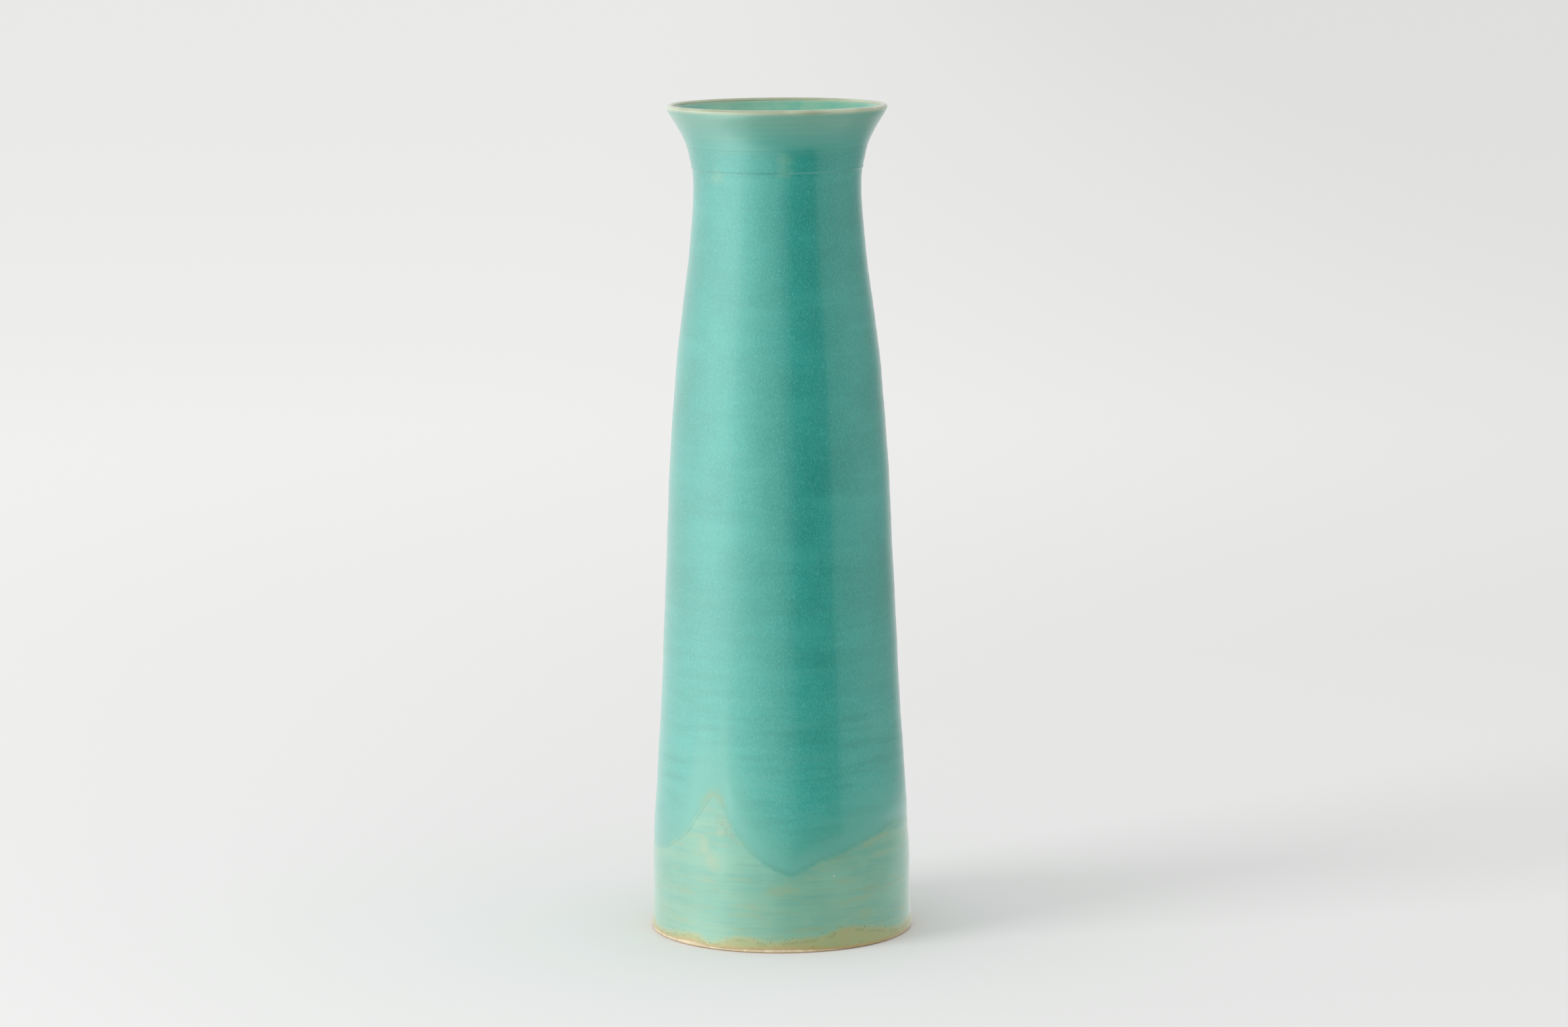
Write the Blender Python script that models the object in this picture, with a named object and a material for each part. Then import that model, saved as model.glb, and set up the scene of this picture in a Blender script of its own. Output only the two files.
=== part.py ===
"""Hand-thrown stoneware vase with a flared neck, under three outer glazes and a poured lining.

Units are metres, +Z is up and the origin is the centre of the foot, on the surface the vase stands on.
The clay is two thrown body sections and a collar, joined with rings of slip in V-shaped joints.
The glazes are thin closed shells round the clay. Every shell is offset from one line, the skin of the
clay, so a change of size carries through all of them.
"""

import math

import bmesh
import bpy

# ---- Driving dimensions ----

# Whole vase, over the glaze
HEIGHT = 0.450
RIM_RADIUS = 0.0594

# Outside of the clay: heights above the foot, and radii
FOOT_RADIUS = 0.0708
HEEL_HEIGHT = 0.045
HEEL_RADIUS = 0.0692
FLANK_HEIGHT = 0.080
FLANK_RADIUS = 0.0665
BELLY_HEIGHT = 0.150
BELLY_RADIUS = 0.06255
WAIST_HEIGHT = 0.235
WAIST_RADIUS = 0.0589
SHOULDER_HEIGHT = 0.300
SHOULDER_RADIUS = 0.0547

# Neck and collar: depths below the rim, and radii of the clay
NECK_DEPTH = 0.044
NECK_RADIUS = 0.04385
COLLAR_DEPTH = 0.0335
COLLAR_RADIUS = 0.0446
COLLAR_SLOPE = 0.2
FLARE_DEPTH = 0.015
FLARE_RADIUS = 0.0511
FLARE_ANGLE = math.radians(30)

# Clay walls
FOOT_WALL = 0.0065
WAIST_WALL = 0.0048
NECK_WALL = 0.0040
FLARE_WALL = 0.0030
LIP_RADIUS = 0.0009
FLOOR_THICKNESS = 0.0070
INNER_HEEL_RADIUS = 0.012

# Foot
FOOT_BEVEL = 0.0008
FOOT_RING_WIDTH = 0.009
RECESS_DEPTH = 0.0035
RECESS_SLOPE = 0.0020

# Joints
SLIP_THICKNESS = 0.0008
JOINT_DEPTH = 0.0018
BEAD_HEIGHT = 0.0004
BEAD_HALF_WIDTH = 0.0016

# Glazes
GAP = 0.0003
WASH_THICKNESS = 0.0004
FIRST_COAT_THICKNESS = 0.0004
MAIN_COAT_THICKNESS = 0.0004
LINING_THICKNESS = 0.0004
WASH_START = 0.0022
MAIN_COAT_TOP_DEPTH = 0.022

# Lower edges of the two coats, as (azimuth in degrees from the front, height above the foot).
# Positive azimuths lie towards +X.
MAIN_COAT_EDGE = [
    (-158, 0.046), (-133, 0.052), (-112, 0.062), (-88, 0.047), (-66, 0.050), (-47, 0.062),
    (-34, 0.083), (-22, 0.064), (-10, 0.049), (5, 0.042), (19, 0.049), (40, 0.056),
    (66, 0.062), (95, 0.055), (121, 0.044), (140, 0.057), (157, 0.074), (173, 0.057),
]
WASH_EDGE = [
    (-168, 0.0050), (-141, 0.0075), (-118, 0.0058), (-92, 0.0080), (-66, 0.0045), (-44, 0.0062),
    (-32, 0.0045), (-20, 0.0074), (-5, 0.0055), (12, 0.0068), (28, 0.0110), (45, 0.0083),
    (66, 0.0055), (88, 0.0078), (115, 0.0052), (140, 0.0090), (165, 0.0062),
]

# Mesh fineness
COLUMNS = 32
LIP_STEPS = 6
FILLET_STEPS = 3
EDGE_ROWS = 2

# ---- Values that follow from them ----

FIRST_COAT_OUTSIDE = GAP + FIRST_COAT_THICKNESS
MAIN_COAT_INSIDE = FIRST_COAT_OUTSIDE + GAP
LIP_CENTRE = (RIM_RADIUS - FIRST_COAT_OUTSIDE - LIP_RADIUS, HEIGHT - FIRST_COAT_OUTSIDE - LIP_RADIUS)
NECK_HEIGHT = HEIGHT - NECK_DEPTH
COLLAR_HEIGHT = HEIGHT - COLLAR_DEPTH
FLARE_HEIGHT = HEIGHT - FLARE_DEPTH
FLOOR_HEIGHT = RECESS_DEPTH + FLOOR_THICKNESS
JOINT_HALF_GAP = SLIP_THICKNESS / 2 + GAP


def foot_to_lip():
    """Knots of the clay's outer side: height, radius, slope of radius over height, rows to the next."""
    bead_rise = COLLAR_SLOPE * BEAD_HALF_WIDTH
    lip_side = (
        LIP_CENTRE[0] + LIP_RADIUS * math.cos(FLARE_ANGLE),
        LIP_CENTRE[1] - LIP_RADIUS * math.sin(FLARE_ANGLE),
    )
    return [
        (FOOT_BEVEL, FOOT_RADIUS, -0.15, 2),
        (HEEL_HEIGHT, HEEL_RADIUS, -0.04, 2),
        (FLANK_HEIGHT, FLANK_RADIUS, -0.052, 2),
        (BELLY_HEIGHT, BELLY_RADIUS, -0.036, 2),
        (WAIST_HEIGHT, WAIST_RADIUS, -0.034, 2),
        (SHOULDER_HEIGHT, SHOULDER_RADIUS, -0.08, 3),
        (NECK_HEIGHT, NECK_RADIUS, -0.02, 1),
        (COLLAR_HEIGHT - BEAD_HALF_WIDTH, COLLAR_RADIUS - bead_rise, COLLAR_SLOPE, 1),
        (COLLAR_HEIGHT + BEAD_HALF_WIDTH, COLLAR_RADIUS + bead_rise, COLLAR_SLOPE, 3),
        (FLARE_HEIGHT, FLARE_RADIUS, 0.50, 3),
        (lip_side[1], lip_side[0], math.tan(FLARE_ANGLE), 0),
    ]


def hermite(start, end, share):
    """Point (radius, height) a share of the way along the cubic between two knots."""
    length = end[0] - start[0]
    square, cube = share ** 2, share ** 3
    radius = (2 * cube - 3 * square + 1) * start[1] + (cube - 2 * square + share) * length * start[2]
    radius += (3 * square - 2 * cube) * end[1] + (cube - square) * length * end[2]
    return (radius, start[0] + length * share)


def outer_line():
    """Outer side of the clay from the foot to the side of the lip, without the bead."""
    knots = foot_to_lip()
    line = []
    for start, end in zip(knots, knots[1:]):
        line += [hermite(start, end, row / start[3]) for row in range(start[3])]
    return line + [(knots[-1][1], knots[-1][0])]


def beaded(line):
    """The line with the crest of the slip bead at the collar joint."""
    crest = (radius_at(line, COLLAR_HEIGHT) + BEAD_HEIGHT, COLLAR_HEIGHT)
    return sorted(line + [crest], key=lambda point: point[1])


def arc(centre, radius, first, last, steps):
    """Points on a circle from one angle to another, both in radians, without its first point."""
    angles = [first + (last - first) * step / steps for step in range(1, steps + 1)]
    return [(centre[0] + radius * math.cos(a), centre[1] + radius * math.sin(a)) for a in angles]


def wall_at(height):
    """Thickness of the clay at a height, straight between the named walls."""
    walls = [
        (0.0, FOOT_WALL),
        (WAIST_HEIGHT, WAIST_WALL),
        (NECK_HEIGHT, NECK_WALL),
        (FLARE_HEIGHT, FLARE_WALL),
    ]
    for (low, low_wall), (high, high_wall) in zip(walls, walls[1:]):
        if height <= high:
            return low_wall + (high_wall - low_wall) * (height - low) / (high - low)
    return FLARE_WALL


def inner_line(outer):
    """Inner side of the clay from under the lip down to the heel, then round to the centre of the floor."""
    bottom = FLOOR_HEIGHT + INNER_HEEL_RADIUS
    rows = [p for p in outer if bottom < p[1] < FLARE_HEIGHT + LIP_RADIUS]
    line = [(radius - wall_at(height), height) for radius, height in reversed(rows)]
    heel_radius = radius_at(outer, bottom) - wall_at(bottom)
    heel_centre = (heel_radius - INNER_HEEL_RADIUS, bottom)
    line.append((heel_radius, bottom))
    line += arc(heel_centre, INNER_HEEL_RADIUS, 0.0, -math.pi / 2, FILLET_STEPS)
    return line + [(0.0, FLOOR_HEIGHT)]


def radius_at(line, height):
    """Radius of a line that runs up or down the wall, at a height."""
    for (radius, low), (next_radius, high) in zip(line, line[1:]):
        if min(low, high) <= height <= max(low, high) and low != high:
            return radius + (next_radius - radius) * (height - low) / (high - low)
    raise ValueError(f"the line does not reach {height}")


def between(line, low, high):
    """Part of a line that lies between two heights, with its ends exactly there, low end first."""
    inside = sorted((p for p in line if low < p[1] < high), key=lambda p: p[1])
    return [(radius_at(line, low), low)] + inside + [(radius_at(line, high), high)]


def offset(line, distance):
    """Line moved away from the clay by a distance, with mitred corners."""
    directions = []
    for (r0, z0), (r1, z1) in zip(line, line[1:]):
        length = math.hypot(r1 - r0, z1 - z0)
        directions.append(((z1 - z0) / length, (r0 - r1) / length))
    before = [directions[0]] + directions
    after = directions + [directions[-1]]
    moved = []
    for (radius, height), a, b in zip(line, before, after):
        mitre = distance / (1 + a[0] * b[0] + a[1] * b[1])
        moved.append((radius + (a[0] + b[0]) * mitre, height + (a[1] + b[1]) * mitre))
    return moved


OUTER = beaded(outer_line())
LIP = arc(LIP_CENTRE, LIP_RADIUS, -FLARE_ANGLE, math.pi - FLARE_ANGLE, LIP_STEPS)
INNER = inner_line(outer_line())
SKIN = OUTER + LIP + INNER
LAP_END = len(OUTER) + LIP_STEPS * 2 // 3


def edge_height(edge, azimuth):
    """Height of a wavy glaze edge at an azimuth in degrees: a smooth closed curve through its points."""
    wrapped = [(edge[-1][0] - 360, edge[-1][1])] + edge + [(edge[0][0] + 360, edge[0][1])]
    for (left, low), (right, high) in zip(wrapped, wrapped[1:]):
        for turn in (azimuth, azimuth - 360):
            if left <= turn <= right:
                share = (turn - left) / (right - left)
                return low + (high - low) * (1 - math.cos(math.pi * share)) / 2
    raise ValueError(f"no edge at {azimuth} degrees")


def fall_to_edge(shell, edge, edge_gap, nominal, fixed):
    """Stretch the rows between the nominal and the fixed height so that the nominal row meets the edge."""
    for vert in shell.verts:
        share = (vert.co.z - fixed) / (nominal - fixed)
        if share <= 1e-6:
            continue
        azimuth = math.degrees(math.atan2(vert.co.x, -vert.co.y))
        height = fixed + (edge_height(edge, azimuth) + edge_gap - fixed) * min(share, 1.0)
        radius = math.hypot(vert.co.x, vert.co.y)
        scale = 1 + (radius_at(OUTER, height) - radius_at(OUTER, vert.co.z)) / radius
        vert.co = (vert.co.x * scale, vert.co.y * scale, height)


def turn(outline):
    """Mesh turned from an outline round the Z axis. An outline that starts on the axis stays open there."""
    shell = bmesh.new()
    verts = [shell.verts.new((radius, 0.0, height)) for radius, height in outline]
    edges = [shell.edges.new(pair) for pair in zip(verts, verts[1:])]
    if outline[0][0] > 0.0:
        edges.append(shell.edges.new((verts[-1], verts[0])))
    bmesh.ops.spin(
        shell,
        geom=verts + edges,
        cent=(0.0, 0.0, 0.0),
        axis=(0.0, 0.0, 1.0),
        angle=2 * math.pi,
        steps=COLUMNS,
        use_merge=True,
    )
    bmesh.ops.remove_doubles(shell, verts=shell.verts, dist=1e-6)
    bmesh.ops.recalc_face_normals(shell, faces=shell.faces)
    return shell


def linear(red, green, blue):
    """Linear colour from display values of 0 to 255."""
    return tuple(((c / 255 + 0.055) / 1.055) ** 2.4 for c in (red, green, blue)) + (1.0,)


def finish(name, colour, roughness):
    """Principled material for one piece."""
    material = bpy.data.materials.new(name)
    material.use_nodes = True
    shader = material.node_tree.nodes["Principled BSDF"]
    shader.inputs["Base Color"].default_value = colour
    shader.inputs["Roughness"].default_value = roughness
    shader.inputs["Metallic"].default_value = 0.0
    return material


def place(name, shell, material):
    """Object of its own for a finished shell."""
    mesh = bpy.data.meshes.new(name)
    shell.to_mesh(mesh)
    shell.free()
    mesh.materials.append(material)
    mesh.shade_smooth()
    mesh.set_sharp_from_angle(angle=math.radians(35))
    piece = bpy.data.objects.new(name, mesh)
    bpy.context.scene.collection.objects.link(piece)
    return piece


def joint_face(height):
    """V-shaped end of a wall at a height, from the outer side to the inner side."""
    outside = radius_at(OUTER, height)
    inside = radius_at(INNER, height)
    return [(outside, height), ((outside + inside) / 2, height - JOINT_DEPTH), (inside, height)]


def base_section():
    """Lower section: foot ring, recessed underside, lower wall and floor, up to the waist joint."""
    top = WAIST_HEIGHT - JOINT_HALF_GAP
    ring_inside = FOOT_RADIUS - FOOT_BEVEL - FOOT_RING_WIDTH
    foot = [
        (0.0, RECESS_DEPTH),
        (ring_inside - RECESS_SLOPE, RECESS_DEPTH),
        (ring_inside, 0.0),
        (FOOT_RADIUS - FOOT_BEVEL, 0.0),
    ]
    outside = between(OUTER, FOOT_BEVEL, top)[:-1]
    inside = [p for p in INNER if p[1] < top]
    return turn(foot + outside + joint_face(top) + inside)


def upper_section():
    """Upper section: the ring of wall between the waist joint and the collar joint."""
    bottom = WAIST_HEIGHT + JOINT_HALF_GAP
    top = COLLAR_HEIGHT - JOINT_HALF_GAP
    outside = between(OUTER, bottom, top)[1:-1]
    inside = between(INNER, bottom, top)[1:-1]
    return turn(outside + joint_face(top) + inside[::-1] + joint_face(bottom)[::-1])


def collar():
    """Flared neck from its joint up to the rounded lip and down the inside."""
    bottom = COLLAR_HEIGHT + JOINT_HALF_GAP
    outside = [p for p in OUTER if p[1] > bottom]
    inside = [p for p in INNER if p[1] > bottom]
    return turn(outside + LIP + inside + joint_face(bottom)[::-1])


def slip_ring(height, bead):
    """Chevron ring of slip that fills a V joint, with the bead's crest on its outer side if it has one."""
    low = joint_face(height - SLIP_THICKNESS / 2)
    high = joint_face(height + SLIP_THICKNESS / 2)
    crest = [(radius_at(OUTER, height), height)] if bead else []
    return turn(crest + high + low[::-1])


def glaze(line, inside, outside):
    """Shell between two offsets of a line."""
    return turn(offset(line, inside) + offset(line, outside)[::-1])


def foot_wash():
    """Thin band round the foot whose upper edge keeps a gap to the first coat's wavy edge."""
    top = max(height for _, height in WASH_EDGE)
    shell = glaze(between(OUTER, WASH_START, top), GAP, GAP + WASH_THICKNESS)
    fall_to_edge(shell, WASH_EDGE, -GAP, top, WASH_START)
    return shell


def coat(line, edge, inside, outside):
    """Shell over a line that runs up from the first row above a wavy edge, drawn down to that edge."""
    lowest = min(height for _, height in edge)
    fixed = line[0][1]
    heights = [lowest + (fixed - lowest) * row / EDGE_ROWS for row in range(EDGE_ROWS)]
    shell = glaze([(radius_at(OUTER, height), height) for height in heights] + line, inside, outside)
    fall_to_edge(shell, edge, 0.0, lowest, fixed)
    return shell


def rows_above(edge):
    """Outer side of the clay from its first row above the highest point of a wavy edge."""
    highest = max(height for _, height in edge)
    return [p for p in OUTER if p[1] > highest]


def first_coat():
    """Pale coat from its wavy lower edge over the whole outside and across the crest of the lip."""
    return coat(rows_above(WASH_EDGE) + SKIN[len(OUTER):LAP_END], WASH_EDGE, GAP, FIRST_COAT_OUTSIDE)


def main_coat():
    """Second coat over the first, from above the collar joint down to its peaked lower edge."""
    start = rows_above(MAIN_COAT_EDGE)[0][1]
    line = between(OUTER, start, HEIGHT - MAIN_COAT_TOP_DEPTH)
    return coat(line, MAIN_COAT_EDGE, MAIN_COAT_INSIDE, MAIN_COAT_INSIDE + MAIN_COAT_THICKNESS)


def lining_glaze():
    """Poured glaze from just inside the lip's crest down the wall and over the floor."""
    inside = offset(SKIN, GAP)[LAP_END:]
    outside = offset(SKIN, GAP + LINING_THICKNESS)[LAP_END:]
    return turn(outside[::-1] + inside)


def build():
    """All pieces of the vase."""
    for old in list(bpy.data.objects):
        bpy.data.objects.remove(old, do_unlink=True)

    clay = finish("stoneware", linear(205, 188, 160), 0.85)
    slip = finish("joining_slip", linear(190, 175, 150), 0.85)
    place("base_section", base_section(), clay)
    place("upper_section", upper_section(), clay)
    place("collar", collar(), clay)
    place("waist_slip", slip_ring(WAIST_HEIGHT, bead=False), slip)
    place("neck_slip", slip_ring(COLLAR_HEIGHT, bead=True), slip)
    place("foot_wash", foot_wash(), finish("olive_wash", linear(160, 150, 112), 0.45))
    place("first_coat", first_coat(), finish("sea_green_glaze", linear(138, 185, 163), 0.30))
    place("main_coat", main_coat(), finish("blue_green_glaze", linear(84, 163, 151), 0.35))
    place("lining_glaze", lining_glaze(), finish("lining_green_glaze", linear(120, 185, 170), 0.25))


build()
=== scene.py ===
import math

import bmesh
import bpy
from mathutils import Euler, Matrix, Quaternion, Vector, noise


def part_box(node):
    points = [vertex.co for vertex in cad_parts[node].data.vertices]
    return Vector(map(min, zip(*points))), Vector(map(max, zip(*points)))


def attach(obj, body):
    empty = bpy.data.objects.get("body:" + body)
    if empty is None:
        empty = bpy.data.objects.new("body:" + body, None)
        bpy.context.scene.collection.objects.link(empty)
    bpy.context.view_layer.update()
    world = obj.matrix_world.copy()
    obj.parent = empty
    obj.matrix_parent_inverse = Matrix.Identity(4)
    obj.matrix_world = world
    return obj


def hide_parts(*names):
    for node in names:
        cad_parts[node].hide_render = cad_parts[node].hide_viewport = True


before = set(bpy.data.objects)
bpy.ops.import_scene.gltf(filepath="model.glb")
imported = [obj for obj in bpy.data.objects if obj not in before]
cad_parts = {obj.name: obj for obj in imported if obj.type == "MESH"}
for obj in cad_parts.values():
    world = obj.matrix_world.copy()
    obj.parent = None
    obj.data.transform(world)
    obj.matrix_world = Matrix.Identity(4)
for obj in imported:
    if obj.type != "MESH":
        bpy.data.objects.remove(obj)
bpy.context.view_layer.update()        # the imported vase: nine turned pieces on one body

scene = bpy.context.scene


# the clay that every glaze is laid over, in metres
claySkin = {
    "knots": [                      # height, radius, slope of the radius, from the foot to the lip
        (0.0008, 0.0708, -0.15),
        (0.045, 0.0692, -0.04),
        (0.080, 0.0665, -0.052),
        (0.150, 0.06255, -0.036),
        (0.235, 0.0589, -0.034),
        (0.300, 0.0547, -0.08),
        (0.406, 0.04385, -0.02),
        (0.4152, 0.0443, 0.09),
        (0.4172, 0.04475, 0.23),
        (0.435, 0.0511, 0.50),
        (0.4481, 0.0588, 0.577),
    ],
    "walls": [                      # height, thickness of the clay
        (0.0, 0.0065),
        (0.235, 0.0048),
        (0.406, 0.0040),
        (0.435, 0.0030),
        (0.460, 0.0030),
    ],
    "lipRadius": 0.0009,
    "lipGlazed": 0.0016,            # radius of the lip over its glaze
    "beadHeight": 0.00031,          # the slip bead at the collar joint
    "beadHalfWidth": 0.0014,
    "floorTop": 0.0105,
    "heel": 0.012,                  # radius of the turn from the wall to the floor
    "columns": 216,                 # round the vase
}

# what the potter's hands left: all layers follow it together
throwing = {
    "ringPitch": 0.0094,
    "ringDepth": 0.000045,
    "ringLeast": 0.6,               # share of the depth, which comes and goes round the pot
    "ringChange": 0.8,
    "ringPatch": 0.07,
    "ringWaver": 4.8,               # how far the rings stray from level
    "slowPitch": 0.031,
    "slowDepth": 0.000063,
    "slowWaver": 3.36,
    "waverSize": 0.11,
    "oval": 0.00010,
    "ovalTurn": 0.7,
    "softDents": 0.00012,
    "dentSize": 0.036,
    "cleanFoot": (0.002, 0.03),     # no marks below the first height, all of them from the second
}

# heights of the glaze lines round the vase: (degrees from the front towards +X, metres)
glazeLines = {
    "mainEdge": [
        (-158, 0.046), (-133, 0.052), (-112, 0.062), (-88, 0.047), (-66, 0.0487), (-55, 0.0550),
        (-46, 0.0630), (-40.6, 0.0718), (-36.2, 0.0788), (-32.2, 0.0826), (-28.8, 0.0780),
        (-25.0, 0.0695), (-20.5, 0.0622), (-14, 0.0533), (-6, 0.0462), (5, 0.0412), (10, 0.0440),
        (14, 0.0465), (22, 0.0498), (35, 0.0541), (50, 0.0590), (64, 0.0620), (80, 0.0600),
        (95, 0.055), (121, 0.044), (140, 0.057), (157, 0.074), (173, 0.057),
    ],
    "washEdge": [
        (-168, 0.0050), (-141, 0.0075), (-118, 0.0058), (-92, 0.0080), (-67, 0.0036), (-52, 0.0050),
        (-41, 0.0061), (-33, 0.0030), (-19, 0.0074), (-6, 0.0053), (6, 0.0064), (19, 0.0078),
        (29, 0.0112), (44, 0.0085), (64, 0.0050), (88, 0.0078), (115, 0.0052), (140, 0.0090),
        (165, 0.0062),
    ],
    "clayEdge": [
        (-160, 0.0024), (-120, 0.0018), (-75, 0.0020), (-55, 0.0024), (-42, 0.0030), (-31, 0.0019),
        (-20, 0.0021), (2, 0.0024), (14, 0.0018), (30, 0.0010), (45, 0.0009), (62, 0.0014),
        (100, 0.0016), (140, 0.0028),
    ],
}


def curveBetween(start, end, startSlope, endSlope, at):
    # value at a place between two (place, value) points, with a given slope at each
    length = end[0] - start[0]
    share = (at - start[0]) / length
    square, cube = share ** 2, share ** 3
    value = (2 * cube - 3 * square + 1) * start[1] + (cube - 2 * square + share) * length * startSlope
    return value + (3 * square - 2 * cube) * end[1] + (cube - square) * length * endSlope


def smoothCurve(points, at):
    # value at a place on the smooth curve through (place, value) points
    index = 1
    while index < len(points) - 2 and points[index + 1][0] < at:
        index += 1
    before, start, end, after = points[index - 1:index + 3]
    startSlope = (end[1] - before[1]) / (end[0] - before[0])
    endSlope = (after[1] - start[1]) / (after[0] - start[0])
    return curveBetween(start, end, startSlope, endSlope, at)


def closedLine(points):
    # a glaze line carried two points past its own ends, so that it closes at the back
    left = [(place - 360, height) for place, height in points[-2:]]
    right = [(place + 360, height) for place, height in points[:2]]
    return left + points + right


wavyLines = {name: closedLine(points) for name, points in glazeLines.items()}


def lineHeight(name, azimuth):
    points = wavyLines[name]
    return smoothCurve(points, azimuth + 360 if azimuth < points[1][0] else azimuth)


def distanceOver(name, azimuth, height, radius):
    # distance from a wavy line up to a point of the wall, negative below the line
    step = 0.5
    rise = lineHeight(name, azimuth + step) - lineHeight(name, azimuth - step)
    slope = rise / (2 * math.radians(step) * radius)
    return (height - lineHeight(name, azimuth)) / math.hypot(1, slope)


def skinRadius(height):
    # the clay's outer radius without the bead
    knots = claySkin["knots"]
    index = 0
    while index < len(knots) - 2 and knots[index + 1][0] < height:
        index += 1
    start, end = knots[index], knots[index + 1]
    return curveBetween(start, end, start[2], end[2], height)


def beadRise(height):
    away = abs(height - beadAt) / claySkin["beadHalfWidth"]
    return claySkin["beadHeight"] * math.cos(math.pi * min(away, 1) / 2) ** 2


def overSkin(height, cover):
    # radius of a layer that lies a cover's thickness over the clay
    step = 0.0005
    slope = (skinRadius(height + step) - skinRadius(height - step)) / (2 * step)
    return skinRadius(height) + beadRise(height) + cover * math.hypot(1, slope)


def wallAt(height):
    walls = claySkin["walls"]
    for (low, lowWall), (high, highWall) in zip(walls, walls[1:]):
        if height <= high:
            return lowWall + (highWall - lowWall) * (height - low) / (high - low)


def eased(value, low, high):
    share = min(max((value - low) / (high - low), 0), 1)
    return share * share * (3 - 2 * share)


def rowsOf(*spans):
    # heights of the rows of points, from spans of (lowest, highest, spacing)
    rows = []
    for low, high, spacing in spans:
        count = max(1, round((high - low) / spacing))
        rows += [low + (high - low) * row / count for row in range(count + 1)]
    return rows


def arcPoints(centre, radius, first, last, steps):
    # (radius, height) points along a circle between two angles in degrees
    points = []
    for step in range(steps + 1):
        angle = math.radians(first + (last - first) * step / steps)
        points.append((centre[0] + radius * math.cos(angle), centre[1] + radius * math.sin(angle)))
    return points


beadAt = max(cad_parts["neck_slip"].data.vertices, key=lambda vert: vert.co.x).co.z
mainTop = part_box("main_coat")[1].z
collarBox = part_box("collar")[1]
lipCentre = (collarBox.x - claySkin["lipRadius"], collarBox.z - claySkin["lipRadius"])


def handShaped(radius, azimuth, height):
    # how far the wall stands in or out at a place, from the throwing
    turn = math.radians(azimuth)
    spot = Vector((math.sin(turn) * radius, -math.cos(turn) * radius, height))
    waver = noise.noise(spot / throwing["waverSize"])
    change = noise.noise(spot / throwing["ringPatch"] + Vector((7, 3, 1)))
    depth = throwing["ringDepth"] * (throwing["ringLeast"] + throwing["ringChange"] * change)
    rings = 2 * math.pi * height / throwing["ringPitch"] + turn + throwing["ringWaver"] * waver
    slow = 2 * math.pi * height / throwing["slowPitch"] + throwing["slowWaver"] * waver
    shift = depth * math.sin(rings) + throwing["slowDepth"] * math.sin(slow)
    shift += throwing["oval"] * math.cos(2 * (turn - throwing["ovalTurn"])) * eased(height, 0.0, 0.4)
    shift += throwing["softDents"] * noise.noise(spot / throwing["dentSize"])
    return shift * eased(height, *throwing["cleanFoot"])


def turned(outline, columns, closed=True):
    # mesh turned round the vase's axis from (radius, height) points
    shell = bmesh.new()
    verts = [shell.verts.new((radius, 0, height)) for radius, height in outline]
    edges = [shell.edges.new(pair) for pair in zip(verts, verts[1:])]
    if closed:
        edges.append(shell.edges.new((verts[-1], verts[0])))
    bmesh.ops.spin(shell, geom=verts + edges, cent=(0, 0, 0), axis=(0, 0, 1),
                   angle=2 * math.pi, steps=columns, use_merge=True)
    bmesh.ops.remove_doubles(shell, verts=shell.verts, dist=1e-6)
    bmesh.ops.recalc_face_normals(shell, faces=shell.faces)
    return shell


def azimuthOf(point):
    return math.degrees(math.atan2(point.x, -point.y))


def pulledTo(name, azimuth, height, start, lift):
    # height of a row once the level edge at start is pulled to a wavy line; nothing moves over lift
    share = (lift - height) / (lift - start)
    return lift - (lift - lineHeight(name, azimuth)) * share


def slideTo(vert, height):
    # moves a point along the wall, as far from the clay as before
    shift = skinRadius(height) - skinRadius(vert.co.z)
    scale = 1 + shift / math.hypot(vert.co.x, vert.co.y)
    vert.co = (vert.co.x * scale, vert.co.y * scale, height)


def handWork(shell):
    # the potter's marks, the same on every layer
    for vert in shell.verts:
        radius = math.hypot(vert.co.x, vert.co.y)
        if radius > 0.001:
            scale = 1 + handShaped(radius, azimuthOf(vert.co), vert.co.z) / radius
            vert.co.x *= scale
            vert.co.y *= scale


def markLines(shell):
    # keeps on each vertex how far it lies above each glaze line, for the glazes' colours
    highest = 0.14       # over this, and near the axis, the height itself is far enough
    nearest = 0.03
    keepers = {name: shell.verts.layers.float.new(name) for name in wavyLines}
    for vert in shell.verts:
        radius = math.hypot(vert.co.x, vert.co.y)
        azimuth = azimuthOf(vert.co)
        for name, keeper in keepers.items():
            if vert.co.z < highest and radius > nearest:
                vert[keeper] = distanceOver(name, azimuth, vert.co.z, radius)
            else:
                vert[keeper] = vert.co.z


def placePiece(name, shell, material, slotName, *nodes):
    markLines(shell)
    handWork(shell)
    mesh = bpy.data.meshes.new(name)
    shell.to_mesh(mesh)
    shell.free()
    mesh.materials.append(material)
    mesh.shade_smooth()
    mesh.set_sharp_from_angle(angle=math.radians(50))
    piece = bpy.data.objects.new(name, mesh)
    scene.collection.objects.link(piece)
    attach(piece, "root")
    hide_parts(*nodes)
    print("%s: %d faces" % (name, len(mesh.polygons)))
    return piece


# nodes that the glazes share

def linear(red, green, blue):
    # linear colour from display values of 0 to 255
    channels = [c / 255 for c in (red, green, blue)]
    return tuple(c / 12.92 if c < 0.04 else ((c + 0.055) / 1.055) ** 2.4 for c in channels) + (1,)


def tonesOf(values):
    return {name: linear(*shade) for name, shade in values["tones"].items()}


def feed(tree, socket, value):
    if isinstance(value, bpy.types.NodeSocket):
        tree.links.new(value, socket)
    else:
        socket.default_value = value


def put(tree, kind, sockets=(), **settings):
    node = tree.nodes.new("ShaderNode" + kind)
    for name, value in settings.items():
        setattr(node, name, value)
    for name, value in dict(sockets).items():
        feed(tree, node.inputs[name], value)
    return node


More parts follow.
